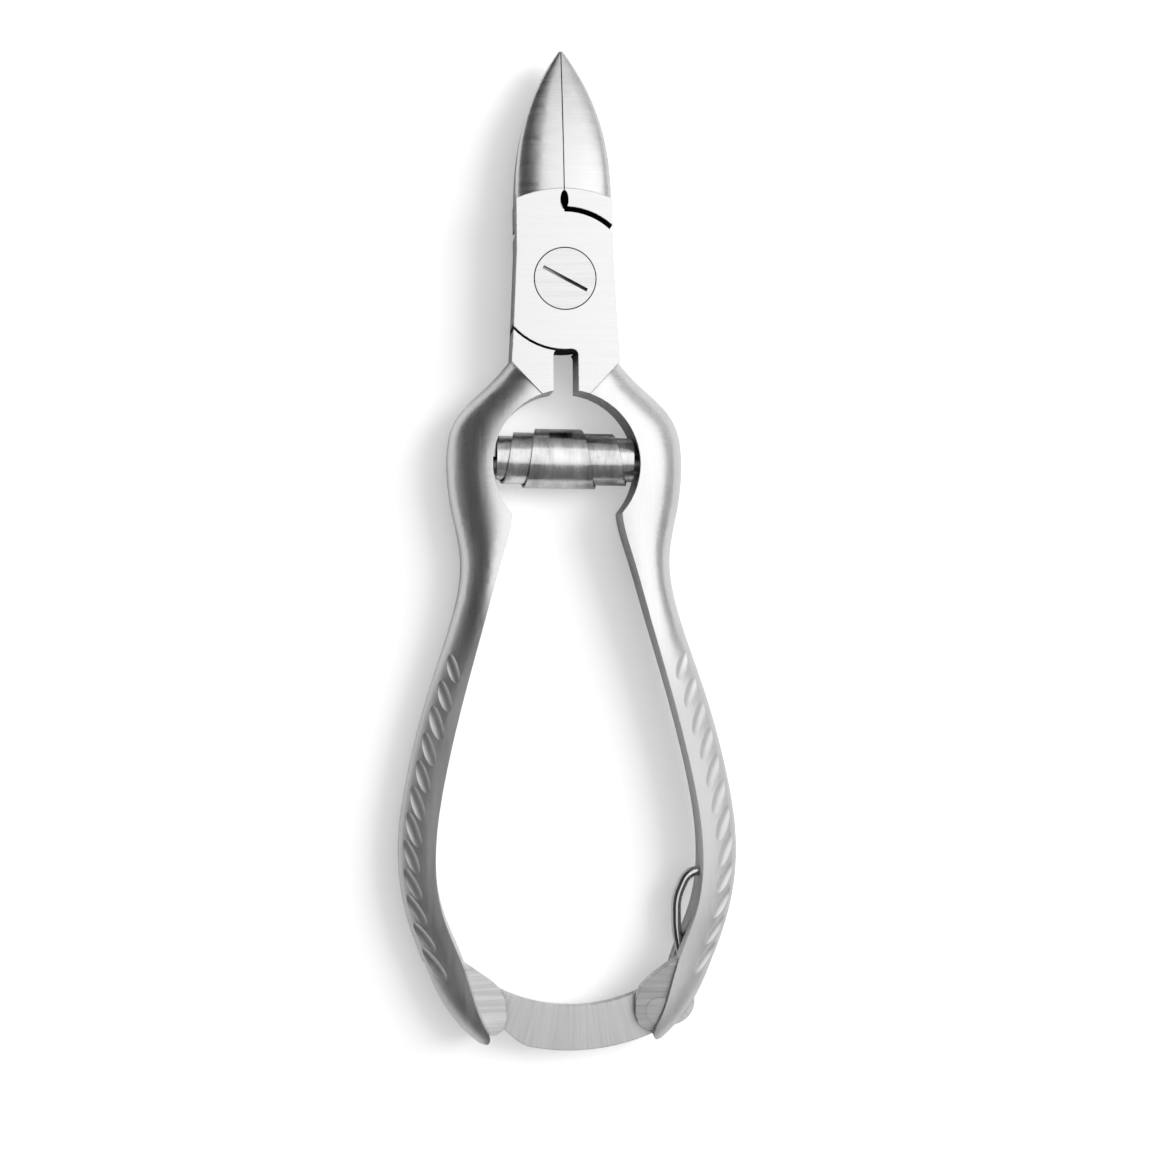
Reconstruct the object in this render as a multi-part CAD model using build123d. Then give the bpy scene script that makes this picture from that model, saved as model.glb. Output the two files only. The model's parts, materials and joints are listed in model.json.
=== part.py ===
"""Toenail nipper, 14 cm class: two crossed halves on a lap joint, a barrel spring and a handle latch.

Millimetres. It lies flat: +Y runs from the handles to the jaws, +Z is up, and the underside is at z = 0.
The pieces are built around the pivot axis, with the nipper's mid-plane at z = 0. The last section moves
them all, so that the origin ends on the underside, below the middle of the outline.
"""
import os
from math import atan2, cos, pi, radians, sin, sqrt

from build123d import *

# ---- Joint block and laps ----
JOINT_THICKNESS = 9.0
BLOCK_HALF_WIDTH = 6.65          # at the jaw heels
SHOULDER_HALF_WIDTH = 7.5        # where the handles begin
SHOULDER_Y = -11.4
CREASE_INNER = (3.35, -15.8)     # inner end of the slanted crease between joint flat and handle
LAP_RADIUS_FRONT = 9.2           # lap edge that turns past the other jaw's heel
LAP_RADIUS_BACK = 9.7            # lap edge that turns past the other handle's shoulder
SHOULDER_GAP_FRONT = 0.7
SHOULDER_GAP_BACK = 0.3
LAP_GAP = 0.06                   # between the two laps, face to face

# ---- Jaws ----
JAW_HEEL_Y = 11.0                # where the ground jaw starts at the outer edge
JAW_HEEL_CROWN = 1.4             # the flat's end is an arc that bulges this far towards the tip
JAW_TIP_Y = 32.0
JAW_TIP_HALF_WIDTH = 0.35
JAW_TIP_HALF_HEIGHT = 0.9
JAW_GAP = 0.06                   # between the closed cutting edges
RELIEF_WIDTH = 1.1               # almond-shaped hole between the jaw heels
RELIEF_LENGTH = 2.6
HOLLOW_RADIUS = 4.2              # spoon-shaped hollow, ground from below
HOLLOW_Y = 17.5
HOLLOW_AXIS_Z = -0.8

# ---- Handles ----
SLOT_HALF_WIDTH = 1.7            # slot between the shoulders
SLOT_FILLET = 0.8
SOCKET_RADIUS = 10.2             # round space that holds the barrel spring
SOCKET_Y = -25.5
CROWN_SHARE_NECK = 0.26          # the crown's place between the inner wall and the outer side
CROWN_SHARE_GRIP = -0.6          # below 0 the grip falls away from its inner edge
CROWN_MOVES_Y = (-36.0, -62.0)   # where it moves from the one to the other
# y, inner wall's x, outer side's x, half of the height
HANDLE_STATIONS = [
    (-11.0, 1.0, 7.6, 4.05),
    (-13.5, 1.2, 9.7, 4.15),
    (-16.5, 2.4, 12.9, 4.25),
    (-20.0, 5.4, 15.6, 4.35),
    (-25.0, 8.2, 16.5, 4.4),
    (-31.0, 7.6, 16.05, 4.35),
    (-38.5, 9.1, 14.75, 4.15),
    (-46.0, 11.2, 15.8, 4.0),
    (-57.0, 14.3, 19.4, 3.85),
    (-68.0, 17.0, 22.35, 3.8),
    (-80.0, 18.6, 23.85, 3.85),
    (-88.0, 17.6, 22.8, 3.95),
    (-95.0, 14.9, 20.4, 4.15),
    (-100.0, 13.4, 18.1, 4.4),
    (-103.2, 12.1, 15.9, 4.45),
    (-104.9, 11.4, 14.3, 4.2),
    (-105.8, 11.8, 13.2, 3.6),
]

# ---- Flat ear at each handle's end, over a slot that takes the latch bar ----
EAR_TOP_INNER = (9.0, 2.3)       # x and z of its sloping top
EAR_TOP_RIM = (14.0, 3.0)
EAR_OUTLINE = [
    (15.9, -93.9), (15.2, -94.4), (13.3, -95.7), (11.05, -97.35), (9.8, -98.55), (9.1, -100.2),
    (9.0, -102.5), (9.5, -104.0), (10.5, -104.7), (12.0, -104.6), (12.8, -103.0), (14.1, -100.0),
]
BAR_SLOT_START_Y = -94.6
BAR_SLOT_CLEARANCE = 0.1         # above and below the latch bar

# ---- Grip grooves ----
GROOVE_COUNT = 12
GROOVE_FIRST_Y = -53.5
GROOVE_LAST_Y = -94.5
GROOVE_WHEEL_RADIUS = 15.0       # the round-edged wheel that cuts them
GROOVE_WHEEL_EDGE = 1.5
GROOVE_DEPTH = 0.34
GROOVE_ANGLE_FIRST = 43.0        # from the handle's own direction, in degrees
GROOVE_ANGLE_LAST = 24.0
GROOVE_SHARE_FIRST = 0.55        # place between the inner wall and the outer side
GROOVE_SHARE_LAST = 0.72

# ---- Pivot screw ----
SCREW_HEAD_RADIUS = 4.2
SCREW_HEAD_HEIGHT = 1.8
SCREW_SHANK_RADIUS = 2.6
SCREW_THREAD_RADIUS = 2.2
SCREW_RUNNING_FIT = 0.03
SCREW_SEAT_FIT = 0.02
DRIVE_SLOT_LENGTH = 6.8
DRIVE_SLOT_WIDTH = 0.45
DRIVE_SLOT_DEPTH = 0.7
DRIVE_SLOT_ANGLE = -28.0

# ---- Barrel spring and the pegs that hold its ends ----
SPRING_END_GAP = 0.4             # between the spring's end and the socket's wall
SPRING_STRIP = 0.4
SPRING_PITCH = 0.62
SPRING_BORE = 1.9
SPRING_CENTRE_DRUM = (4.1, 4.0)  # half of its length, and its radius
SPRING_SIDE_DRUM_RADIUS = 3.4
SPRING_END_DRUM_RADIUS = 2.95
SPRING_END_DRUM_LENGTH = 1.5
SPRING_TILT = -1.5
PEG_RADIUS = 1.3
PEG_REACH = 2.2                  # out of the socket's wall, into the spring's end
PEG_ROOT = 1.6                   # inside the wall

# ---- Latch bar, rivet and catch pin ----
LATCH_THICKNESS = 1.5
LATCH_WIDTH = 6.2
LATCH_MID_RADIUS = 26.0
LATCH_CENTRE = (0.7, -78.5)
RIVET_AT = (12.4, -102.0)
RIVET_RADIUS = 1.5
RIVET_HEAD_RADIUS = 1.95
RIVET_HEAD_HEIGHT = 0.7
RIVET_FIT = 0.04
RIVET_TAIL = 0.9                 # below the bar
HEEL_RADIUS = 3.4
HEEL_AT = (14.2, -101.0)
CATCH_AT = (-13.6, -98.0)
CATCH_PIN_RADIUS = 1.1
CATCH_PIN_ROOT = 1.1             # inside the ear
CATCH_CLEARANCE = 0.15
CATCH_SWING = 3.5                # degrees from the place at rest to the locked place
HOOK_TOOTH_GAP = 0.2             # below the pin, at rest
HOOK_END_X = -16.6
HOOK_UNDERSIDE = [(-5.0, -107.3), (-7.2, -106.2), (-8.4, -105.2), (-9.4, -104.2), (HOOK_END_X - 1, -101.7)]

# ---- Latch wire ----
WIRE_RADIUS = 0.7
WIRE_FIT = 0.04
WIRE_POINTS = [(20.6, -82.9), (16.9, -82.9), (15.2, -86.6), (15.2, -90.8), (16.0, -95.4), (16.5, -97.0)]
WIRE_BENDS = [2.3, 6.5, 14.0, 3.0]
WIRE_CHANNEL_START_Y = -91.5
WIRE_CHANNEL_FIT = 0.12

HALF = JOINT_THICKNESS / 2
FAR = 200.0
UPPER_LAYER = (LAP_GAP / 2, HALF)
LOWER_LAYER = (-HALF, -LAP_GAP / 2)
BAR_LAYER = (-LATCH_THICKNESS / 2, LATCH_THICKNESS / 2)
BAR_SLOT = LATCH_THICKNESS / 2 + BAR_SLOT_CLEARANCE


def slab(outline, layer):
    """Closed outline in XY, made solid from the layer's bottom to its top."""
    bottom, top = layer
    return extrude(Pos(0, 0, bottom) * make_face(outline), amount=top - bottom)


def disc(radius, layer, at=(0, 0)):
    bottom, top = layer
    return Pos(at[0], at[1], (bottom + top) / 2) * Cylinder(radius, top - bottom)


def box(x, y, layer):
    """Box from the x pair, the y pair and the layer's z pair."""
    spans = [x, y, layer]
    middle = [(low + high) / 2 for low, high in spans]
    return Pos(*middle) * Box(*[high - low for low, high in spans])


def at_station(y):
    """Inner x, outer x and half height of the handle at any y, on smooth curves through its stations."""
    for before, above, below, after in zip(HANDLE_STATIONS, HANDLE_STATIONS[1:], HANDLE_STATIONS[2:],
                                           HANDLE_STATIONS[3:]):
        if below[0] <= y <= above[0]:
            span = below[0] - above[0]
            t = (y - above[0]) / span
            values = []
            for p, a, b, q in zip(before[1:], above[1:], below[1:], after[1:]):
                leaving = (b - p) / (below[0] - before[0]) * span
                arriving = (q - a) / (after[0] - above[0]) * span
                bend = t * (1 - t) * ((1 - t) * (leaving - b + a) + t * (b - a - arriving))
                values.append(a + (b - a) * t + bend)
            return values
    raise ValueError(f"no handle at y = {y}")


# ---- Blanks: one jaw and one handle, both on the +X side ----
def across(y):
    """Plane across the nipper at y, seen with x to the right and z up."""
    return Plane((0, y, 0), x_dir=(1, 0, 0), z_dir=(0, -1, 0))


def jaw_section(y, width, height):
    """Flat against x = 0, gently domed above and below, and straight up and down at the outer side."""
    over = [(width * u, height * v) for u, v in [(0, 1), (0.45, 0.985), (0.75, 0.9), (0.92, 0.77), (1, 0.6)]]
    under = [(x, -z) for x, z in reversed(over)]
    outline = Spline(*over) + Line(over[-1], under[0]) + Spline(*under) + Line(under[-1], over[0])
    return across(y) * make_face(outline)


def jaw_blank():
    """Gothic arch in outline, falling towards the tip, from just inside the joint block."""
    start_y = JAW_HEEL_Y - 1
    heel_height = HALF + 0.1
    sections = []
    for share in (0.0, 0.25, 0.5, 0.7, 0.87, 1.0):
        width = BLOCK_HALF_WIDTH + (JAW_TIP_HALF_WIDTH - BLOCK_HALF_WIDTH) * share ** 2.5
        height = heel_height + (JAW_TIP_HALF_HEIGHT - heel_height) * share ** 1.5
        sections.append(jaw_section(start_y + (JAW_TIP_Y - start_y) * share, width, height))
    return loft(sections) & box((0, FAR), (-FAR, FAR), (-HALF, HALF))


def crown_share(y):
    start, end = CROWN_MOVES_Y
    moved = min(1.0, max(0.0, (y - start) / (end - start)))
    return CROWN_SHARE_NECK + (CROWN_SHARE_GRIP - CROWN_SHARE_NECK) * moved


def surface(y, inner, outer, height, share):
    """Point of the handle's upper side, where share 0 is the inner wall and 1 the outer side."""
    crown = crown_share(y)
    beyond = max(0.0, (share - crown) / (1 - crown))
    return Vector(inner + share * (outer - inner), y, height * sqrt(1 - beyond ** 2))


def handle_section(*station):
    """D shape: flat inner wall, and part of an ellipse from its top down to the outer side."""
    y, inner, outer, height = station
    over = [surface(*station, share) for share in (0.0, 0.3, 0.6, 0.85, 0.96)]
    over = [(point.X, point.Z) for point in over]
    under = [(x, -z) for x, z in reversed(over)]
    round_side = Spline(*over, (outer, 0), *under)
    return across(y) * make_face(round_side + Line(under[-1], over[0]))


def groove_wheel(y, share, angle, side):
    """Wheel sunk into the grip. Side is 1 on top and -1 underneath."""
    place = surface(y, *at_station(y), share)
    along_handle = surface(y + 1, *at_station(y + 1), share) - surface(y - 1, *at_station(y - 1), share)
    across_handle = surface(y, *at_station(y), share + 0.05) - surface(y, *at_station(y), share - 0.05)
    normal = across_handle.cross(along_handle).normalized()
    along = along_handle.rotate(Axis((0, 0, 0), (normal.X, normal.Y, normal.Z)), -angle).normalized()
    centre = place + normal * (GROOVE_WHEEL_RADIUS - GROOVE_DEPTH)
    wheel = Torus(GROOVE_WHEEL_RADIUS - GROOVE_WHEEL_EDGE, GROOVE_WHEEL_EDGE)
    wheel = Plane(centre, x_dir=along, z_dir=normal.cross(along)) * wheel
    return wheel if side > 0 else mirror(wheel, about=Plane.XY)


def handle_blank():
    body = loft([handle_section(*station) for station in HANDLE_STATIONS])
    for k in range(GROOVE_COUNT):
        done = k / (GROOVE_COUNT - 1)
        y = GROOVE_FIRST_Y + (GROOVE_LAST_Y - GROOVE_FIRST_Y) * done
        share = GROOVE_SHARE_FIRST + (GROOVE_SHARE_LAST - GROOVE_SHARE_FIRST) * done
        angle = GROOVE_ANGLE_FIRST + (GROOVE_ANGLE_LAST - GROOVE_ANGLE_FIRST) * done
        for side in (1, -1):
            body = body - groove_wheel(y, share, angle, side)
    return body


# ---- One half: left jaw, upper lap, right handle ----
def joint_block(layer):
    """The joint's outline, with an arc at the jaws and slanted creases at the handles."""
    right = [
        (BLOCK_HALF_WIDTH, JAW_HEEL_Y), (BLOCK_HALF_WIDTH, 4.0), (SHOULDER_HALF_WIDTH - 0.3, -7.0),
        (SHOULDER_HALF_WIDTH, SHOULDER_Y), CREASE_INNER, (SLOT_HALF_WIDTH - 1, CREASE_INNER[1]),
    ]
    left = [(-x, y) for x, y in right]
    arch = ThreePointArc(left[0], (0, JAW_HEEL_Y + JAW_HEEL_CROWN), right[0])
    return slab(arch + Polyline(*right, *reversed(left)), layer)


def lap_limits(layer, front, back):
    """What a layer of this half may keep: all of it inside the lap arcs, and its own sides outside."""
    own_jaw = box((-FAR, -JAW_GAP / 2), (0, FAR), layer)
    own_handle = box((SLOT_HALF_WIDTH - SLOT_FILLET, FAR), (-FAR, 0), layer)
    near_jaws = box((-FAR, FAR), (0, FAR), layer)
    near_handles = box((-FAR, FAR), (-FAR, 0), layer)
    return own_jaw, own_handle, near_jaws & disc(front, layer), near_handles & disc(back, layer)


def shoulder_slot():
    """All that lies left of this half's own shoulder, with a rounded corner at the lap."""
    cutter = box((-FAR, SLOT_HALF_WIDTH), (-FAR, -LAP_RADIUS_BACK), (-HALF - 1, HALF + 1))
    corner = cutter.edges().filter_by(Axis.Z).sort_by(lambda edge: edge.center().X + edge.center().Y)[-1]
    return fillet(corner, SLOT_FILLET)


def half_blank():
    jaw = mirror(jaw_blank(), about=Plane.YZ) & box((-FAR, -JAW_GAP / 2), (-FAR, FAR), (-HALF, HALF))
    handle = handle_blank()

    own_jaw, own_handle, front_lap, back_lap = lap_limits(UPPER_LAYER, LAP_RADIUS_FRONT, LAP_RADIUS_BACK)
    upper = joint_block(UPPER_LAYER) & (own_jaw + own_handle + front_lap + back_lap)

    front, back = LAP_RADIUS_FRONT + SHOULDER_GAP_FRONT, LAP_RADIUS_BACK + SHOULDER_GAP_BACK
    own_jaw, own_handle, front_void, back_void = lap_limits(LOWER_LAYER, front, back)
    lower = joint_block(LOWER_LAYER) & (own_jaw + own_handle) - front_void - back_void
    jaw_void = disc(front, (-HALF, LAP_GAP / 2))
    handle_void = disc(back, (-HALF, LAP_GAP / 2))

    half = upper + lower + (jaw - jaw_void) + (handle - handle_void)
    half -= shoulder_slot()
    half -= disc(SOCKET_RADIUS, (-FAR, FAR), (0, SOCKET_Y))
    relief = make_face(Ellipse(RELIEF_WIDTH / 2, RELIEF_LENGTH / 2).edges())
    half -= extrude(Pos(0, JAW_HEEL_Y - 0.2, -HALF - 1) * relief, amount=JOINT_THICKNESS + 2)
    return half - box((0, FAR), (-FAR, BAR_SLOT_START_Y), (-BAR_SLOT, BAR_SLOT))


def turned_over(piece):
    """The lower half is the upper half's blank, turned over about Y."""
    return Rot(0, 180, 0) * piece


def jaw_hollow():
    """Spoon-shaped cutter: a ball and a cone towards the tip, open below."""
    tip_radius = 0.45
    length = JAW_TIP_Y + 0.5 - HOLLOW_Y
    ball = Pos(0, HOLLOW_Y, HOLLOW_AXIS_Z) * Sphere(HOLLOW_RADIUS)
    lie = Plane((0, HOLLOW_Y + length / 2, HOLLOW_AXIS_Z), x_dir=(1, 0, 0), z_dir=(0, 1, 0))
    cone = lie * Cone(HOLLOW_RADIUS, tip_radius, length)
    below = (-HALF - 1, HOLLOW_AXIS_Z)
    well = disc(HOLLOW_RADIUS, below, (0, HOLLOW_Y))
    far_y = HOLLOW_Y + length
    trough = slab(Polyline((HOLLOW_RADIUS, HOLLOW_Y), (tip_radius, far_y), (-tip_radius, far_y),
                           (-HOLLOW_RADIUS, HOLLOW_Y), close=True), below)
    return ball + cone + well + trough


def below_ear_top(bottom):
    """All that lies between a level and the sloping top of the right ear."""
    (x0, z0), (x1, z1) = EAR_TOP_INNER, EAR_TOP_RIM
    slope = (z1 - z0) / (x1 - x0)
    left, right = x0 - 4, x1 + 6
    side = Polyline((left, bottom), (right, bottom), (right, z1 + slope * (right - x1)),
                    (left, z0 + slope * (left - x0)), close=True)
    return extrude(across(BAR_SLOT_START_Y + 5) * make_face(side), amount=25)


def ear():
    return slab(Polyline(*EAR_OUTLINE, close=True), (BAR_SLOT, HALF)) & below_ear_top(BAR_SLOT)


def rivet_head():
    """Ground flush with the ear, and buried where the handle's rim rises above it."""
    return disc(RIVET_HEAD_RADIUS, (head_seat(), HALF), RIVET_AT) & below_ear_top(BAR_SLOT)


def head_seat():
    (x0, z0), (x1, z1) = EAR_TOP_INNER, EAR_TOP_RIM
    return z0 + (z1 - z0) * (RIVET_AT[0] - x0) / (x1 - x0) - RIVET_HEAD_HEIGHT


def peg_hole():
    """Reaches back into the socket, because the wall curves away from the peg."""
    length = 2 * PEG_ROOT
    lie = Plane((SOCKET_RADIUS + PEG_ROOT - length / 2, SOCKET_Y, 0), x_dir=(0, 1, 0), z_dir=(1, 0, 0))
    return lie * Cylinder(PEG_RADIUS, length)


def upper_half(blank):
    """Left jaw, upper lap and right handle, with the screw's seat, the rivet's hole and the wire's."""
    half = blank + ear() - jaw_hollow() - peg_hole()
    half -= disc(SCREW_SHANK_RADIUS + SCREW_RUNNING_FIT, (-1, HALF + 1))
    half -= disc(SCREW_HEAD_RADIUS + SCREW_RUNNING_FIT, (HALF - SCREW_HEAD_HEIGHT - SCREW_SEAT_FIT, HALF + 1))
    half -= disc(RIVET_RADIUS, (-1, head_seat()), RIVET_AT)
    half -= rivet_head()
    half -= disc(RIVET_HEAD_RADIUS + RIVET_FIT, (-HALF - 1, -BAR_SLOT), RIVET_AT)
    hole_end, wire_y = WIRE_POINTS[0]
    lie = Plane((hole_end - 5, wire_y, 0), x_dir=(0, 1, 0), z_dir=(1, 0, 0))
    half -= lie * Cylinder(WIRE_RADIUS + WIRE_FIT, 10)
    channel = WIRE_RADIUS + WIRE_CHANNEL_FIT
    widest = max(x for x, y in WIRE_POINTS[2:]) + channel
    half -= box((0, widest), (BAR_SLOT_START_Y - 1, WIRE_CHANNEL_START_Y), (-channel, channel))
    return half


def lower_half(blank):
    """Right jaw, lower lap and left handle, with the screw's thread and the catch pin's hole."""
    half = turned_over(blank) + mirror(ear(), about=Plane.YZ) - jaw_hollow() - turned_over(peg_hole())
    half -= disc(SCREW_THREAD_RADIUS, (-HALF - 1, 1))
    return half - disc(CATCH_PIN_RADIUS, (BAR_SLOT, BAR_SLOT + CATCH_PIN_ROOT), CATCH_AT)


# ---- Pivot screw ----
def pivot_screw():
    head = disc(SCREW_HEAD_RADIUS, (HALF - SCREW_HEAD_HEIGHT, HALF))
    shank = disc(SCREW_SHANK_RADIUS, (-LAP_GAP / 2, HALF - SCREW_HEAD_HEIGHT))
    thread = disc(SCREW_THREAD_RADIUS, (-HALF, -LAP_GAP / 2))
    slot = Pos(0, 0, HALF) * Rot(0, 0, DRIVE_SLOT_ANGLE)
    slot *= Box(DRIVE_SLOT_LENGTH, DRIVE_SLOT_WIDTH, 2 * DRIVE_SLOT_DEPTH)
    return head + shank + thread - slot


# ---- Barrel spring: a strip rolled up, its drums stepping down to both ends ----
def spring_roll(reach):
    """Archimedean roll of the strip, from the bore out to the widest drum."""
    turns = (SPRING_CENTRE_DRUM[1] + SPRING_STRIP - SPRING_BORE) / SPRING_PITCH
    steps = int(turns * 8)
    inner, outer = [], []
    for k in range(steps + 1):
        angle = 2 * pi * turns * k / steps
        radius = SPRING_BORE + SPRING_PITCH * turns * k / steps
        inner.append((radius * cos(angle), radius * sin(angle)))
        outer.append(((radius + SPRING_STRIP) * cos(angle), (radius + SPRING_STRIP) * sin(angle)))
    strip = Spline(*inner) + Line(inner[-1], outer[-1]) + Spline(*reversed(outer)) + Line(outer[0], inner[0])
    return Pos(0, 0, -reach) * extrude(make_face(strip), amount=2 * reach)


def barrel_spring():
    reach = sqrt(SOCKET_RADIUS ** 2 - SPRING_END_DRUM_RADIUS ** 2) - SPRING_END_GAP
    side_drum = (reach - SPRING_END_DRUM_LENGTH, SPRING_SIDE_DRUM_RADIUS)
    drums = [SPRING_CENTRE_DRUM, side_drum, (reach, SPRING_END_DRUM_RADIUS)]
    barrel = None
    for half_length, radius in drums:
        drum = Cylinder(radius, 2 * half_length)
        barrel = drum if barrel is None else barrel + drum
    spring = spring_roll(reach) & barrel
    lie = Plane((0, SOCKET_Y, 0), x_dir=(0, 1, 0), z_dir=(1, 0, 0))
    return Pos(0, SOCKET_Y, 0) * Rot(0, 0, SPRING_TILT) * Pos(0, -SOCKET_Y, 0) * lie * spring


def spring_peg():
    length = PEG_ROOT + PEG_REACH
    middle = SOCKET_RADIUS + PEG_ROOT - length / 2
    lie = Plane((middle, SOCKET_Y, 0), x_dir=(0, 1, 0), z_dir=(1, 0, 0))
    return lie * Cylinder(PEG_RADIUS, length)


# ---- Latch ----
def latch_bar():
    """Flat arc from a round heel around the rivet to a hook that reaches over the catch pin."""
    rivet_x, rivet_y = RIVET_AT
    ring = disc(LATCH_MID_RADIUS + LATCH_WIDTH / 2, BAR_LAYER, LATCH_CENTRE)
    ring -= disc(LATCH_MID_RADIUS - LATCH_WIDTH / 2, BAR_LAYER, LATCH_CENTRE)
    bar = ring & box((HOOK_END_X, rivet_x), (-FAR, LATCH_CENTRE[1] - 1), BAR_LAYER)
    bar += disc(HEEL_RADIUS, BAR_LAYER, HEEL_AT)

    from_rivet = Vector(CATCH_AT[0] - rivet_x, CATCH_AT[1] - rivet_y, 0).rotate(Axis.Z, CATCH_SWING)
    seat = (rivet_x + from_rivet.X, rivet_y + from_rivet.Y)
    notch = CATCH_PIN_RADIUS + CATCH_CLEARANCE
    bar -= disc(notch, BAR_LAYER, seat)
    tooth_top = CATCH_AT[1] - CATCH_PIN_RADIUS - HOOK_TOOTH_GAP
    bar -= box((-FAR, seat[0] + notch + 2 * CATCH_CLEARANCE), (tooth_top, 0), BAR_LAYER)
    bar -= slab(Polyline(*HOOK_UNDERSIDE, (HOOK_END_X - 1, -FAR), (HOOK_UNDERSIDE[0][0], -FAR), close=True),
                BAR_LAYER)
    return bar - disc(RIVET_RADIUS + RIVET_FIT, BAR_LAYER, RIVET_AT)


def latch_rivet():
    shank = disc(RIVET_RADIUS, (-BAR_SLOT, head_seat()), RIVET_AT)
    tail = disc(RIVET_HEAD_RADIUS, (-BAR_SLOT - RIVET_TAIL, -BAR_SLOT), RIVET_AT)
    return shank + rivet_head() + tail


def catch_pin():
    """Stands down from the left ear, across the slot."""
    return disc(CATCH_PIN_RADIUS, (BAR_SLOT_CLEARANCE / 2 - BAR_SLOT, BAR_SLOT + CATCH_PIN_ROOT), CATCH_AT)


def latch_wire():
    """Bow of round spring wire, from its hole in the grip's wall to the latch bar's heel."""
    path = FilletPolyline(*WIRE_POINTS, radius=WIRE_BENDS)
    start = Plane(path @ 0, z_dir=path % 0)
    return sweep(start * Circle(WIRE_RADIUS), path=path)


# ---- All pieces, moved so that the origin is below the middle of the outline ----
def pieces():
    blank = half_blank()
    return {
        "upper_half": upper_half(blank),
        "lower_half": lower_half(blank),
        "pivot_screw": pivot_screw(),
        "barrel_spring": barrel_spring(),
        "spring_peg_right": spring_peg(),
        "spring_peg_left": turned_over(spring_peg()),
        "latch_bar": latch_bar(),
        "latch_rivet": latch_rivet(),
        "catch_pin": catch_pin(),
        "latch_wire": latch_wire(),
    }


if __name__ == "__main__":
    os.makedirs("parts", exist_ok=True)
    lowest_y = LATCH_CENTRE[1] - LATCH_MID_RADIUS - LATCH_WIDTH / 2
    to_origin = Pos(0, -(JAW_TIP_Y + lowest_y) / 2, HALF)
    print(f"pivot axis at y = {to_origin.position.Y:.3f}")
    for name, piece in pieces().items():
        export_step(to_origin * piece, f"parts/{name}.step")
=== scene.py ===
import json
from math import pi, radians

import bpy
from mathutils import Matrix, Vector


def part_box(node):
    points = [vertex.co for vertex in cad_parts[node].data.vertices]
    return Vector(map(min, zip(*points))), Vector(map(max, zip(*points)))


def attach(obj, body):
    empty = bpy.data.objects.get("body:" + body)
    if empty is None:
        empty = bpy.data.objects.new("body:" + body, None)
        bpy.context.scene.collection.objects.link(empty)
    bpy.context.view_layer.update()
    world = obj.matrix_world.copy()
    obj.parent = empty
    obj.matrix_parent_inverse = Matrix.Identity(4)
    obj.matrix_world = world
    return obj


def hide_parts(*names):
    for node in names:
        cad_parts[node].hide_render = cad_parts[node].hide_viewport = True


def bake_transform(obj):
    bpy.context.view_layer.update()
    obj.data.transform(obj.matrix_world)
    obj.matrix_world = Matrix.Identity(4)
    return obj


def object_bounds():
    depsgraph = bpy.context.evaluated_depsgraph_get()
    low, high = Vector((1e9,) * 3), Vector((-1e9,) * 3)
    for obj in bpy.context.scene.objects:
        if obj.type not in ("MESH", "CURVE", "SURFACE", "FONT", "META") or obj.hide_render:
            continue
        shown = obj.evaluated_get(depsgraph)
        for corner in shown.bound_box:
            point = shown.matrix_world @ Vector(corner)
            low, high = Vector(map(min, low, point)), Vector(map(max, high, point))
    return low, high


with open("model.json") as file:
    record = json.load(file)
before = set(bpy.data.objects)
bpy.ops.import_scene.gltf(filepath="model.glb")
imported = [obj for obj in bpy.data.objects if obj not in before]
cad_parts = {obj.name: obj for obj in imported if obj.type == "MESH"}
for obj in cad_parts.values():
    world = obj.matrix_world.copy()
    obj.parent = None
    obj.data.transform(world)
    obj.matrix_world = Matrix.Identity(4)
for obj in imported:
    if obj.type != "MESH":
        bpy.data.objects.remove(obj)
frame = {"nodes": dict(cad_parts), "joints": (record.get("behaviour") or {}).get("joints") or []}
cad_low, cad_high = [list(corner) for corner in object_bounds()]

# ---- View and light ----
# The nipper lies flat on a white table, seen from above and a little from its left. A wide soft box hangs
# over its right side, and a smaller one, which the steel doesn't mirror, throws the shadow on the table.
# The room on the left is dark.
MM = 0.001
pivot = next(Vector(joint["pos_m"]) for joint in frame["joints"] if joint["name"] == "jaw_pivot")
middle = Vector((0, 0, cad_high[2]))

camera = bpy.data.objects.new("camera", bpy.data.cameras.new("camera"))
bpy.context.scene.collection.objects.link(camera)
bpy.context.scene.camera = camera
camera.location = (-22.8 * MM, 0.4 * MM, 278 * MM)
camera.data.lens = 60.7
camera.data.sensor_width = 36
camera.data.clip_start = 0.01
aim = Vector((1.7 * MM, -3.8 * MM, cad_high[2]))
ahead = (aim - camera.location).normalized()
across = ahead.cross(Vector((0, 1, 0))).normalized()
upright = Matrix([across, across.cross(ahead), -ahead]).transposed()
roll = radians(-0.57)
camera.rotation_euler = (upright @ Matrix.Rotation(roll, 3, "Z")).to_euler()

bpy.context.scene.view_settings.view_transform = "Standard"


def soft_box(name, place, target, width, height, watts):
    light = bpy.data.lights.new(name, "AREA")
    light.shape = "RECTANGLE"
    light.size, light.size_y = width, height
    light.energy = watts
    lamp = bpy.data.objects.new(name, light)
    lamp.location = place
    lamp.rotation_euler = (Vector(place) - Vector(target)).to_track_quat("Z", "Y").to_euler()
    bpy.context.scene.collection.objects.link(lamp)
    return lamp


soft_box("overhead_box", place=(0.51, 0.16, 0.7), target=(0.51, 0.16, 0), width=1.2, height=0.9, watts=2.4)
right_box = soft_box("right_box", place=(0.6, 0.2, 0.64), target=middle, width=0.4, height=0.5, watts=4.2)
right_box.visible_glossy = False

world = bpy.data.worlds.new("room")
bpy.context.scene.world = world
world.use_nodes = True
nodes, links = world.node_tree.nodes, world.node_tree.links
nodes.clear()
direction = nodes.new("ShaderNodeTexCoord")
parts = nodes.new("ShaderNodeSeparateXYZ")
links.new(direction.outputs["Generated"], parts.inputs[0])


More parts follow.
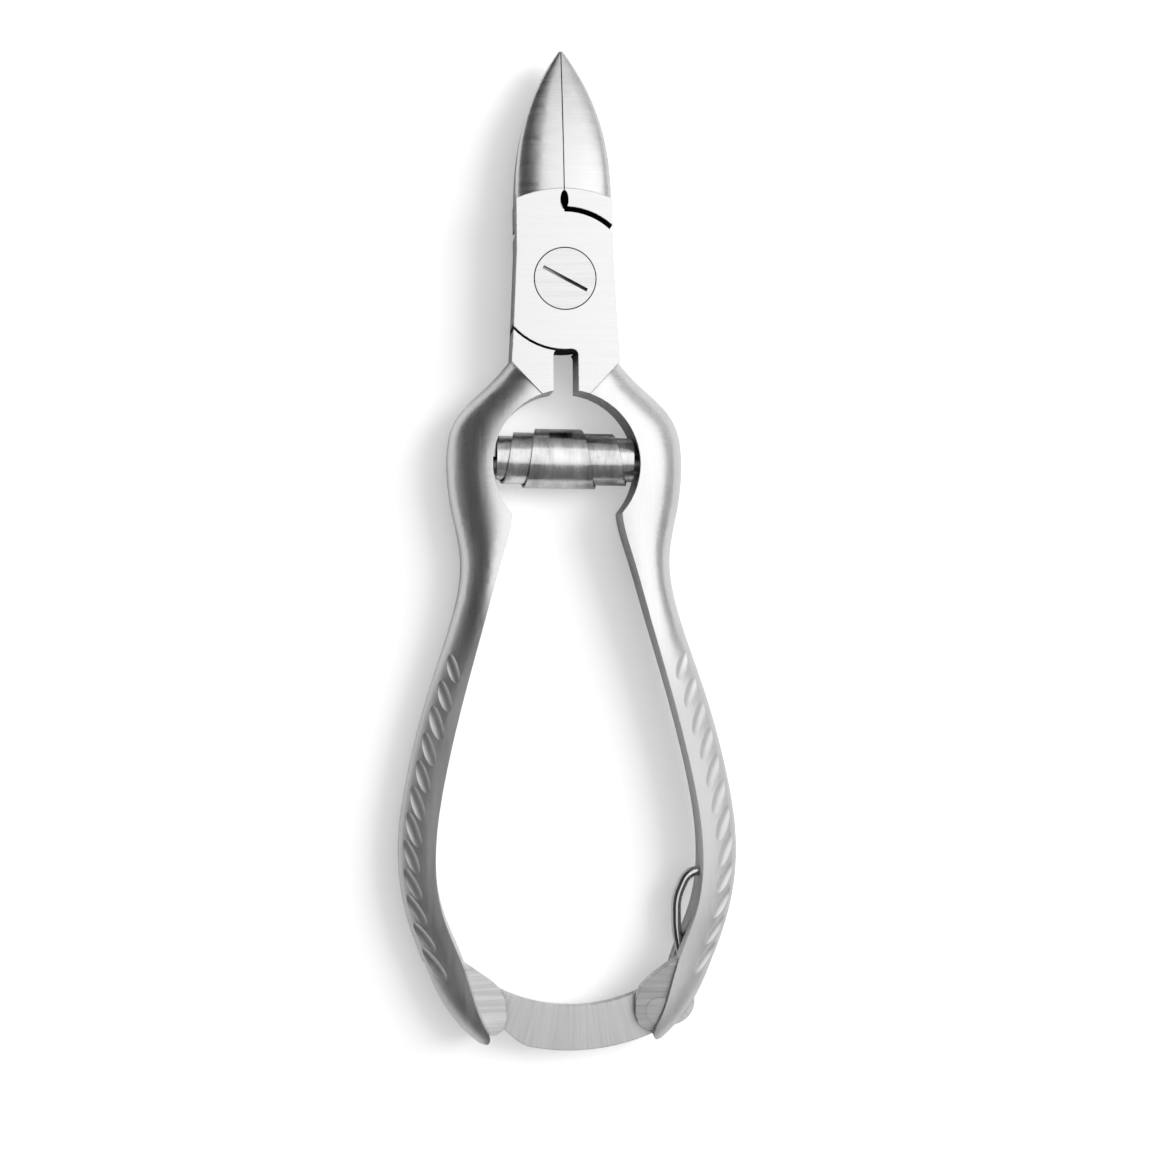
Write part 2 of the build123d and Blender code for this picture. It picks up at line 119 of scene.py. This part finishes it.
def ramp(source, name, levels):
    """Brightness of the room along one direction, from (direction, level) pairs, the two ends first."""
    share = nodes.new("ShaderNodeMapRange")
    share.inputs["From Min"].default_value = -1
    links.new(parts.outputs[source], share.inputs["Value"])
    made = nodes.new("ShaderNodeValToRGB")
    made.label = name
    made.color_ramp.interpolation = "EASE"
    stops = made.color_ramp.elements
    for k, (toward, level) in enumerate(levels):
        position = (toward + 1) / 2
        stop = stops[k] if k < 2 else stops.new(position)
        stop.position = position
        stop.color = (level, level, level, 1)
    links.new(share.outputs[0], made.inputs["Fac"])
    return made.outputs["Color"]


sideways = ramp("X", "left to right", [
    (-1.0, 0.25), (1.0, 0.35),
    (-0.85, 0.09), (-0.55, 0.06), (-0.33, 0.08), (-0.12, 0.45), (0.3, 0.6), (0.85, 0.55)])
lengthways = ramp("Y", "handles to jaws", [
    (-1.0, 0.3), (1.0, 0.5),
    (-0.45, 0.5), (-0.05, 1.0), (0.7, 1.0)])
first_colour, second_colour, mixed_colour = 6, 7, 2      # a Mix node's sockets for colours
room = nodes.new("ShaderNodeMix")
room.data_type = "RGBA"
room.blend_type = "MULTIPLY"
room.inputs["Factor"].default_value = 1.0
links.new(sideways, room.inputs[first_colour])
links.new(lengthways, room.inputs[second_colour])
seen = nodes.new("ShaderNodeLightPath")
backdrop = nodes.new("ShaderNodeMix")
backdrop.data_type = "RGBA"
links.new(seen.outputs["Is Camera Ray"], backdrop.inputs["Factor"])
links.new(room.outputs[mixed_colour], backdrop.inputs[first_colour])
backdrop.inputs[second_colour].default_value = (1, 1, 1, 1)
background = nodes.new("ShaderNodeBackground")
links.new(backdrop.outputs[mixed_colour], background.inputs["Color"])
links.new(background.outputs[0], nodes.new("ShaderNodeOutputWorld").inputs["Surface"])

# ---- Table ----
# A seamless white board, which the nipper lies on. It stays bright to the eye, because it glows a little,
# and keeps the nipper's soft shadow.
reach = 3.0
drop = 0.02 * MM             # keeps the board's face clear of the nipper's underside
glow = 0.38
table_mesh = bpy.data.meshes.new("table")
table_mesh.from_pydata([(-reach, -reach, 0), (reach, -reach, 0), (reach, reach, 0), (-reach, reach, 0)],
                       [], [(0, 1, 2, 3)])
table = bpy.data.objects.new("table", table_mesh)
bpy.context.scene.collection.objects.link(table)
table.location.z = -drop
board = bpy.data.materials.new("white_board")
board.use_nodes = True
nodes, links = board.node_tree.nodes, board.node_tree.links
paint = nodes["Principled BSDF"]
paint.inputs["Base Color"].default_value = (0.9, 0.9, 0.9, 1)
paint.inputs["Roughness"].default_value = 0.9
paint.inputs["Specular IOR Level"].default_value = 0.1
paint.inputs["Emission Color"].default_value = (1, 1, 1, 1)
seen = nodes.new("ShaderNodeLightPath")
lift = nodes.new("ShaderNodeMath")
lift.operation = "MULTIPLY"
lift.inputs[1].default_value = glow
links.new(seen.outputs["Is Camera Ray"], lift.inputs[0])
links.new(lift.outputs[0], paint.inputs["Emission Strength"])
table_mesh.materials.append(board)

# ---- The two halves ----
# Two forgings of stainless steel, each with one jaw, one lap and one handle. They are ground on a belt:
# the joint's flats, the jaws and the ears straight across, the handles along their length. The gaps between
# the laps are painted dark, as painted shade.


def new_group(name, inputs, outputs):
    """Empty shader group with its sockets, each given as a name, a kind and, for an input, its value."""
    made = bpy.data.node_groups.new(name, "ShaderNodeTree")
    for label, kind, value in inputs:
        socket = made.interface.new_socket(label, in_out="INPUT", socket_type=f"NodeSocket{kind}")
        socket.default_value = value
    for label, kind in outputs:
        made.interface.new_socket(label, in_out="OUTPUT", socket_type=f"NodeSocket{kind}")
    return made, made.nodes.new("NodeGroupInput"), made.nodes.new("NodeGroupOutput")


brushing, given, result = new_group(
    "belt_brushing",
    [("Place", "Vector", (0, 0, 0)), ("Lines", "Vector", (150, 4000, 150))],
    [("Height", "Float"), ("Shade", "Float")])
nodes, links = brushing.nodes, brushing.links
stretched = nodes.new("ShaderNodeVectorMath")
stretched.operation = "MULTIPLY"
links.new(given.outputs["Place"], stretched.inputs[0])
links.new(given.outputs["Lines"], stretched.inputs[1])
fine = nodes.new("ShaderNodeTexNoise")
fine.inputs["Scale"].default_value = 1.0
fine.inputs["Detail"].default_value = 4.0
fine.inputs["Roughness"].default_value = 0.65
links.new(stretched.outputs[0], fine.inputs["Vector"])
links.new(fine.outputs["Fac"], result.inputs["Height"])
broad = nodes.new("ShaderNodeTexNoise")
broad.inputs["Scale"].default_value = 0.3
broad.inputs["Detail"].default_value = 5.0
broad.inputs["Roughness"].default_value = 0.7
links.new(stretched.outputs[0], broad.inputs["Vector"])
spread = nodes.new("ShaderNodeMapRange")
spread.inputs["From Min"].default_value, spread.inputs["From Max"].default_value = 0.36, 0.64
links.new(broad.outputs["Fac"], spread.inputs["Value"])
links.new(spread.outputs[0], result.inputs["Shade"])

# Masks for painted shade: a thin dark line along every edge, and darkening in the crevices that the AO node
# finds
edge_and_crevice_shade, given, result = new_group(
    "painted_edge_and_crevice_shade",
    [("Radius", "Float", 0.0001), ("Reach", "Float", 0.0006)],
    [("Edge Shade", "Float"), ("Crevice Shade", "Float"), ("Normal", "Vector")])
nodes, links = edge_and_crevice_shade.nodes, edge_and_crevice_shade.links
rounded = nodes.new("ShaderNodeBevel")
rounded.samples = 6
links.new(given.outputs["Radius"], rounded.inputs["Radius"])
links.new(rounded.outputs["Normal"], result.inputs["Normal"])
true_face = nodes.new("ShaderNodeNewGeometry")
turned = nodes.new("ShaderNodeVectorMath")
turned.operation = "DOT_PRODUCT"
links.new(rounded.outputs["Normal"], turned.inputs[0])
links.new(true_face.outputs["Normal"], turned.inputs[1])
edge_shade = nodes.new("ShaderNodeMapRange")
edge_shade.inputs["From Min"].default_value, edge_shade.inputs["From Max"].default_value = 0.99, 0.85
links.new(turned.outputs["Value"], edge_shade.inputs["Value"])
links.new(edge_shade.outputs[0], result.inputs["Edge Shade"])
openness = nodes.new("ShaderNodeAmbientOcclusion")
openness.samples = 6
links.new(given.outputs["Reach"], openness.inputs["Distance"])
crevice_shade = nodes.new("ShaderNodeMapRange")
crevice_shade.inputs["From Min"].default_value, crevice_shade.inputs["From Max"].default_value = 0.75, 0.3
links.new(openness.outputs["AO"], crevice_shade.inputs["Value"])
links.new(crevice_shade.outputs[0], result.inputs["Crevice Shade"])


def place_group(tree, group, values):
    node = tree.nodes.new("ShaderNodeGroup")
    node.node_tree = group
    for label, value in values.items():
        node.inputs[label].default_value = value
    return node


def feed(tree, socket, value):
    """A number is set on the socket, and another socket is linked to it."""
    if isinstance(value, (int, float)):
        socket.default_value = value
    else:
        tree.links.new(value, socket)


def calculate(tree, operation, *values):
    """One Math node with its inputs, in their order."""
    node = tree.nodes.new("ShaderNodeMath")
    node.operation = operation
    for socket, value in zip(node.inputs, values):
        feed(tree, socket, value)
    return node.outputs[0]


def step_between(tree, value, start, end):
    """0 before start and 1 after end, smooth between them."""
    node = tree.nodes.new("ShaderNodeMapRange")
    node.interpolation_type = "SMOOTHSTEP"
    node.inputs["From Min"].default_value, node.inputs["From Max"].default_value = start, end
    tree.links.new(value, node.inputs["Value"])
    return node.outputs[0]


def mixed(tree, share, low, high):
    """Number or grey between low, where share is 0, and high, where it is 1."""
    node = tree.nodes.new("ShaderNodeMix")
    for label, value in (("Factor", share), ("A", low), ("B", high)):
        feed(tree, node.inputs[label], value)
    return node.outputs["Result"]


def steel_base(name):
    """Bare steel, as its material, node tree, shader and the place on the piece."""
    made = bpy.data.materials.new(name)
    made.use_nodes = True
    shader = made.node_tree.nodes["Principled BSDF"]
    shader.inputs["Metallic"].default_value = 1.0
    on_piece = made.node_tree.nodes.new("ShaderNodeTexCoord")
    return made, made.node_tree, shader, on_piece.outputs["Object"]


def split(tree, vector):
    node = tree.nodes.new("ShaderNodeSeparateXYZ")
    tree.links.new(vector, node.inputs[0])
    return node.outputs


def brushed(tree, place, lines):
    """Height and shade of one belt's lines, where a larger number packs them closer along X, Y or Z."""
    node = place_group(tree, brushing, {"Lines": lines})
    tree.links.new(place, node.inputs["Place"])
    return node.outputs["Height"], node.outputs["Shade"]


def bumped(tree, shader, height, distance, normal):
    bump = tree.nodes.new("ShaderNodeBump")
    bump.inputs["Strength"].default_value = 1.0
    bump.inputs["Distance"].default_value = distance
    tree.links.new(height, bump.inputs["Height"])
    tree.links.new(normal, bump.inputs["Normal"])
    tree.links.new(bump.outputs["Normal"], shader.inputs["Normal"])


def finish_on(material, *names):
    for name in names:
        slots = frame["nodes"][name].data.materials
        slots.clear()
        slots.append(material)


ground_across, ground_along = (150, 4500, 150), (2600, 240, 2600)
body_steel, tree, shader, place = steel_base("body_steel")
x, y, z = split(tree, place)
off_middle = calculate(tree, "ABSOLUTE", x)

# The handles' upper ends, the ears' upper ends, and the crease that parts each flat ear from its rim
handle_top, ear_top = pivot.y - 16 * MM, pivot.y - 94.5 * MM
crease_at, crease_lean = (14.9 * MM, pivot.y - 95 * MM), 0.354
on_end = step_between(tree, y, ear_top + 1 * MM, ear_top)
crease = crease_at[0] - crease_lean * crease_at[1]
inside_crease = step_between(tree, calculate(tree, "MULTIPLY_ADD", y, -crease_lean, off_middle),
                             crease + 0.3 * MM, crease)
on_ear = calculate(tree, "MULTIPLY", on_end, inside_crease)
below_joint = step_between(tree, y, handle_top + 1.5 * MM, handle_top)
on_handle = calculate(tree, "SUBTRACT", below_joint, on_ear)
height_across, shade_across = brushed(tree, place, ground_across)
height_along, shade_along = brushed(tree, place, ground_along)
height = mixed(tree, on_handle, height_across, height_along)
shade = mixed(tree, on_handle, shade_across, shade_along)

# Painted shade darkens the block's gaps and the relief hole ahead of them, below the block's two flats
block_half_width, block_flare = 6.5 * MM, 0.75 * MM
flare_from, flare_to = pivot.y + 4 * MM, pivot.y - 9 * MM
block_foot, block_foot_full, block_head = pivot.y - 12.5 * MM, pivot.y - 9.8 * MM, pivot.y + 10.8 * MM
hole_half_width, hole_length = 0.7 * MM, 1.8 * MM
gap_shade_from, gap_shade_full = 0.02 * MM, 0.3 * MM
half_up = cad_high[2] / 2
flared = step_between(tree, y, flare_from, flare_to)
side = calculate(tree, "MULTIPLY_ADD", flared, block_flare, block_half_width)
in_block = calculate(tree, "LESS_THAN", off_middle, side)
in_block = calculate(tree, "MULTIPLY", in_block, step_between(tree, y, block_foot, block_foot_full))
at_hole = calculate(tree, "LESS_THAN", off_middle, hole_half_width)
head = calculate(tree, "MULTIPLY_ADD", at_hole, hole_length, block_head)
in_block = calculate(tree, "MULTIPLY", in_block, calculate(tree, "LESS_THAN", y, head))
off_level = calculate(tree, "ABSOLUTE", calculate(tree, "SUBTRACT", z, half_up))
deep = step_between(tree, off_level, half_up - gap_shade_from, half_up - gap_shade_full)
gap_shade = calculate(tree, "MULTIPLY", in_block, deep)

# Painted shade also draws the thin dark line between the closed jaws and the ring round the screw's head
seam_half_width, seam_foot = 0.045 * MM, pivot.y + 11 * MM
ring_radius, ring_half_width, ring_fades = 4.24 * MM, 0.07 * MM, 0.05 * MM
seam = calculate(tree, "MULTIPLY", step_between(tree, off_middle, 2 * seam_half_width, seam_half_width),
                 calculate(tree, "GREATER_THAN", y, seam_foot))
flat_place = tree.nodes.new("ShaderNodeCombineXYZ")
tree.links.new(x, flat_place.inputs["X"])
tree.links.new(y, flat_place.inputs["Y"])
from_pivot = tree.nodes.new("ShaderNodeVectorMath")
from_pivot.operation = "DISTANCE"
from_pivot.inputs[1].default_value = (pivot.x, pivot.y, 0)
tree.links.new(flat_place.outputs[0], from_pivot.inputs[0])
off_ring = calculate(tree, "ABSOLUTE", calculate(tree, "SUBTRACT", from_pivot.outputs["Value"], ring_radius))
ring = step_between(tree, off_ring, ring_half_width + ring_fades, ring_half_width)
painted_shade = calculate(tree, "MAXIMUM", calculate(tree, "MAXIMUM", gap_shade, seam), ring)

# Each pair of greys or of roughnesses is at the dull and at the bright side of the lines
edges = place_group(tree, edge_and_crevice_shade, {"Radius": 0.12 * MM, "Reach": 0.8 * MM})
grey = mixed(tree, shade, mixed(tree, on_ear, 0.78, 0.66), mixed(tree, on_ear, 0.86, 0.94))
# Painted shade: darker in the crevices, along the edges, and in the gaps, the seam and the ring
grey = mixed(tree, calculate(tree, "MULTIPLY", edges.outputs["Crevice Shade"], 0.6), grey, 0.06)
grey = mixed(tree, calculate(tree, "MULTIPLY", edges.outputs["Edge Shade"], 0.35), grey, 0.35)
grey = mixed(tree, painted_shade, grey, 0.03)
tree.links.new(grey, shader.inputs["Base Color"])
grip_from, grip_full = pivot.y - 44 * MM, pivot.y - 62 * MM
on_grip = step_between(tree, y, grip_from, grip_full)
satin = mixed(tree, shade, mixed(tree, on_grip, 0.26, 0.46), mixed(tree, on_grip, 0.32, 0.54))
tree.links.new(mixed(tree, painted_shade, satin, 0.7), shader.inputs["Roughness"])
bumped(tree, shader, height, 0.004 * MM, edges.outputs["Normal"])
finish_on(body_steel, "upper_half", "lower_half")

# ---- Pivot screw ----
# One steel screw holds the laps together. Its head was ground flush with the joint, which wore its slot away
# on one side. Its slot is painted dark as painted shade, and its edge as a thin dark ring of painted shade.
slot_shade_from, slot_shade_to = -2.6 * MM, 0.6 * MM
screw_steel, tree, shader, place = steel_base("screw_steel")
x, _, z = split(tree, place)
height, shade = brushed(tree, place, ground_across)
edges = place_group(tree, edge_and_crevice_shade, {"Radius": 0.06 * MM})
in_slot = step_between(tree, z, cad_high[2] - 0.02 * MM, cad_high[2] - 0.12 * MM)
# Painted shade in the slot, paler towards its left end
slot_shade = mixed(tree, step_between(tree, x, slot_shade_from, slot_shade_to), 0.42, 0.05)
grey = mixed(tree, in_slot, mixed(tree, shade, 0.70, 0.90), slot_shade)
# Painted shade: a thin dark ring along the head's edges
grey = mixed(tree, calculate(tree, "MULTIPLY", edges.outputs["Edge Shade"], 0.75), grey, 0.05)
tree.links.new(grey, shader.inputs["Base Color"])
tree.links.new(mixed(tree, shade, 0.26, 0.36), shader.inputs["Roughness"])
bumped(tree, shader, height, 0.003 * MM, edges.outputs["Normal"])
finish_on(screw_steel, "pivot_screw")

# ---- Barrel spring ----
# One long strip of bright spring steel, rolled up so that its narrow outer end makes a drum in the middle
# and its wide inner end reaches both handles. The inner roll slides out of the drum as the nipper opens.
strip_tree = bpy.data.node_groups.new("rolled_strip", "GeometryNodeTree")
strip_inputs = {
    "First Turn": ("Float", 0.0), "Last Turn": ("Float", 1.0), "Steps": ("Int", 60),
    "Outer Radius": ("Float", 4.0 * MM), "Pitch": ("Float", 0.55 * MM), "Thickness": ("Float", 0.35 * MM),
    "First Angle": ("Float", -0.5), "Half Width": ("Float", 2.85 * MM), "Widening": ("Float", 3.7 * MM),
    "Widest": ("Float", 9.55 * MM), "Off Centre": ("Float", -1.1 * MM), "Centring": ("Float", -0.67),
    "From X": ("Float", -10 * MM), "To X": ("Float", 10 * MM),
    "Centre": ("Vector", (0, 0, 0)), "Tilt": ("Float", 0.0), "Material": ("Material", None),
}
for label, (kind, value) in strip_inputs.items():
    socket = strip_tree.interface.new_socket(label, in_out="INPUT", socket_type=f"NodeSocket{kind}")
    if value is not None:
        socket.default_value = value
strip_tree.interface.new_socket("Geometry", in_out="OUTPUT", socket_type="NodeSocketGeometry")
nodes, links = strip_tree.nodes, strip_tree.links
given = nodes.new("NodeGroupInput").outputs
result = nodes.new("NodeGroupOutput")

flat_strip = nodes.new("GeometryNodeMeshGrid")
flat_strip.inputs["Size X"].default_value = 1.0
flat_strip.inputs["Size Y"].default_value = 2.0
flat_strip.inputs["Vertices Y"].default_value = 9
links.new(given["Steps"], flat_strip.inputs["Vertices X"])
on_grid = nodes.new("ShaderNodeSeparateXYZ")
links.new(nodes.new("GeometryNodeInputPosition").outputs[0], on_grid.inputs[0])
along = calculate(strip_tree, "ADD", on_grid.outputs["X"], 0.5)
turn = mixed(strip_tree, along, given["First Turn"], given["Last Turn"])
angle = calculate(strip_tree, "MULTIPLY_ADD", turn, 2 * pi, given["First Angle"])
taken_up = calculate(strip_tree, "MULTIPLY", turn, given["Pitch"])
radius = calculate(strip_tree, "SUBTRACT", given["Outer Radius"], taken_up)
half_width = calculate(strip_tree, "MULTIPLY_ADD", turn, given["Widening"], given["Half Width"])
half_width = calculate(strip_tree, "MINIMUM", half_width, given["Widest"])
off_centre = calculate(strip_tree, "MULTIPLY_ADD", turn, given["Centring"], 1.0)
off_centre = calculate(strip_tree, "MAXIMUM", off_centre, 0.0)
strip_x = calculate(strip_tree, "MULTIPLY_ADD", on_grid.outputs["Y"], half_width,
                    calculate(strip_tree, "MULTIPLY", off_centre, given["Off Centre"]))
strip_x = calculate(strip_tree, "MAXIMUM", strip_x, given["From X"])
strip_x = calculate(strip_tree, "MINIMUM", strip_x, given["To X"])
rolled = nodes.new("ShaderNodeCombineXYZ")
links.new(strip_x, rolled.inputs["X"])
for label, wave in (("Y", "COSINE"), ("Z", "SINE")):
    around = calculate(strip_tree, "MULTIPLY", radius, calculate(strip_tree, wave, angle))
    links.new(around, rolled.inputs[label])
roll_up = nodes.new("GeometryNodeSetPosition")
links.new(flat_strip.outputs["Mesh"], roll_up.inputs["Geometry"])
links.new(rolled.outputs[0], roll_up.inputs["Position"])
thicken = nodes.new("GeometryNodeExtrudeMesh")
thicken.inputs["Individual"].default_value = False
links.new(roll_up.outputs[0], thicken.inputs["Mesh"])
links.new(given["Thickness"], thicken.inputs["Offset Scale"])
back = nodes.new("GeometryNodeFlipFaces")
links.new(roll_up.outputs[0], back.inputs["Mesh"])
closed = nodes.new("GeometryNodeJoinGeometry")
links.new(thicken.outputs["Mesh"], closed.inputs[0])
links.new(back.outputs[0], closed.inputs[0])
welded = nodes.new("GeometryNodeMergeByDistance")
welded.inputs["Distance"].default_value = 0.001 * MM
links.new(closed.outputs[0], welded.inputs["Geometry"])
lay = nodes.new("GeometryNodeTransform")
links.new(welded.outputs[0], lay.inputs["Geometry"])
links.new(given["Centre"], lay.inputs["Translation"])
turn_over = nodes.new("ShaderNodeCombineXYZ")
links.new(given["Tilt"], turn_over.inputs["Z"])
links.new(turn_over.outputs[0], lay.inputs["Rotation"])
realized = nodes.new("GeometryNodeRealizeInstances")
links.new(lay.outputs[0], realized.inputs[0])
painted = nodes.new("GeometryNodeSetMaterial")
links.new(realized.outputs[0], painted.inputs["Geometry"])
links.new(given["Material"], painted.inputs["Material"])
links.new(painted.outputs[0], result.inputs[0])

spring_steel, tree, shader, place = steel_base("spring_steel")
height, shade = brushed(tree, place, (1500, 420, 420))
edges = place_group(tree, edge_and_crevice_shade, {"Radius": 0.1 * MM, "Reach": 0.5 * MM})
grey = mixed(tree, shade, 0.5, 0.88)
# Painted shade darkens the crevices between the turns and a thin line along the strip's edges
grey = mixed(tree, edges.outputs["Crevice Shade"], grey, 0.04)
grey = mixed(tree, calculate(tree, "MULTIPLY", edges.outputs["Edge Shade"], 0.5), grey, 0.12)
tree.links.new(grey, shader.inputs["Base Color"])
tree.links.new(mixed(tree, shade, 0.13, 0.28), shader.inputs["Roughness"])
bumped(tree, shader, height, 0.012 * MM, edges.outputs["Normal"])

spring_low, spring_high = [Vector(corner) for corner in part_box("barrel_spring")]
spring_centre = (spring_low + spring_high) / 2
spring_tilt = radians(-1.5)
drum_turns, parting, all_turns = 1.08, 0.01, 3.2


def spring_piece(name, values):
    """Plain mesh of one stretch of the strip."""
    start = bpy.data.objects.new(name, bpy.data.meshes.new(name))
    bpy.context.scene.collection.objects.link(start)
    roller = start.modifiers.new("roll", "NODES")
    roller.node_group = strip_tree
    values = {"Centre": spring_centre, "Tilt": spring_tilt, "Material": spring_steel, **values}
    for item in strip_tree.interface.items_tree:
        if item.in_out == "INPUT" and item.name in values:
            roller[item.identifier] = values[item.name]
    graph = bpy.context.evaluated_depsgraph_get()
    graph.update()
    mesh = bpy.data.meshes.new_from_object(start.evaluated_get(graph), depsgraph=graph)
    start.modifiers.clear()
    start.data = mesh
    mesh.shade_smooth()
    mesh.set_sharp_from_angle(angle=radians(35))
    return start


# The drum is baked in place and left on neither half; each arm is attached to one half
drum = spring_piece("spring_drum", {"Last Turn": drum_turns, "Steps": 64})
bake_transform(drum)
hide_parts("barrel_spring")
for name, body, cut in (("spring_arm_left", "lower", "To X"), ("spring_arm_right", "upper", "From X")):
    stretch = {"First Turn": drum_turns + parting, "Last Turn": all_turns, "Steps": 120, cut: 0.0}
    arm = spring_piece(name, stretch)
    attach(arm, body)

# ---- Spring pegs ----
# Two short steel pegs that keep the spring's ends in place. They are cut from rod and left dull, and each is
# pressed into the wall of one handle. Their grey is painted dark, as painted shade for the handles' shadow.
pin_steel, tree, shader, place = steel_base("pin_steel")
height, shade = brushed(tree, place, (300, 2500, 2500))
edges = place_group(tree, edge_and_crevice_shade, {"Radius": 0.08 * MM})
# Painted shade: the pegs' grey is kept dark for the shadow they sit in
tree.links.new(mixed(tree, shade, 0.12, 0.34), shader.inputs["Base Color"])
tree.links.new(mixed(tree, shade, 0.3, 0.5), shader.inputs["Roughness"])
bumped(tree, shader, height, 0.003 * MM, edges.outputs["Normal"])
finish_on(pin_steel, "spring_peg_left", "spring_peg_right")

# ---- Latch bar ----
# A flat arc of steel plate. It turns on a rivet between the right handle's ear and rim, and its hook takes
# the catch pin in the left handle. It is ground across its width, so the lines fan out around the arc.
arc_centre, arc_radius = (0.7 * MM, pivot.y - 78.5 * MM, 0), 26 * MM
latch_steel, tree, shader, place = steel_base("latch_steel")
from_centre = tree.nodes.new("ShaderNodeVectorMath")
from_centre.operation = "SUBTRACT"
from_centre.inputs[1].default_value = arc_centre
tree.links.new(place, from_centre.inputs[0])
x, y, z = split(tree, from_centre.outputs[0])
fan = calculate(tree, "ARCTAN2", x, calculate(tree, "MULTIPLY", y, -1.0))
fanned = tree.nodes.new("ShaderNodeCombineXYZ")
tree.links.new(calculate(tree, "MULTIPLY", fan, arc_radius), fanned.inputs["X"])
tree.links.new(y, fanned.inputs["Y"])
tree.links.new(z, fanned.inputs["Z"])
height, shade = brushed(tree, fanned.outputs[0], (3600, 130, 300))
edges = place_group(tree, edge_and_crevice_shade, {"Radius": 0.12 * MM, "Reach": 2 * MM})
grey = mixed(tree, shade, 0.56, 0.80)
# Painted shade darkens the crevices round the bar and a thin line along its edges
grey = mixed(tree, calculate(tree, "MULTIPLY", edges.outputs["Crevice Shade"], 0.7), grey, 0.08)
grey = mixed(tree, calculate(tree, "MULTIPLY", edges.outputs["Edge Shade"], 0.3), grey, 0.3)
tree.links.new(grey, shader.inputs["Base Color"])
tree.links.new(mixed(tree, shade, 0.28, 0.42), shader.inputs["Roughness"])
bumped(tree, shader, height, 0.006 * MM, edges.outputs["Normal"])
finish_on(latch_steel, "latch_bar")

# ---- Latch rivet and catch pin ----
# Soft steel rivet through the right ear and the bar, ground flush with the ear in the same strokes, and the
# stud inside the left handle that the hook takes.
rivet_steel, tree, shader, place = steel_base("rivet_steel")
height, shade = brushed(tree, place, ground_across)
edges = place_group(tree, edge_and_crevice_shade, {"Radius": 0.08 * MM})
grey = mixed(tree, shade, 0.64, 0.86)
# Painted shade: a thin dark line along the rivet's and the pin's edges
grey = mixed(tree, calculate(tree, "MULTIPLY", edges.outputs["Edge Shade"], 0.5), grey, 0.2)
tree.links.new(grey, shader.inputs["Base Color"])
tree.links.new(mixed(tree, shade, 0.26, 0.38), shader.inputs["Roughness"])
bumped(tree, shader, height, 0.003 * MM, edges.outputs["Normal"])
finish_on(rivet_steel, "latch_rivet", "catch_pin")

# ---- Latch wire ----
# Bright drawn spring wire, bent into a bow. One end sits in a hole in the right grip, and the other presses
# on the latch bar's heel, so that the latch snaps open.
wire_steel, tree, shader, place = steel_base("wire_steel")
height, shade = brushed(tree, place, (2200, 220, 2200))
edges = place_group(tree, edge_and_crevice_shade, {"Radius": 0.08 * MM})
tree.links.new(mixed(tree, shade, 0.5, 0.8), shader.inputs["Base Color"])
tree.links.new(mixed(tree, shade, 0.08, 0.2), shader.inputs["Roughness"])
bumped(tree, shader, height, 0.003 * MM, edges.outputs["Normal"])
finish_on(wire_steel, "latch_wire")
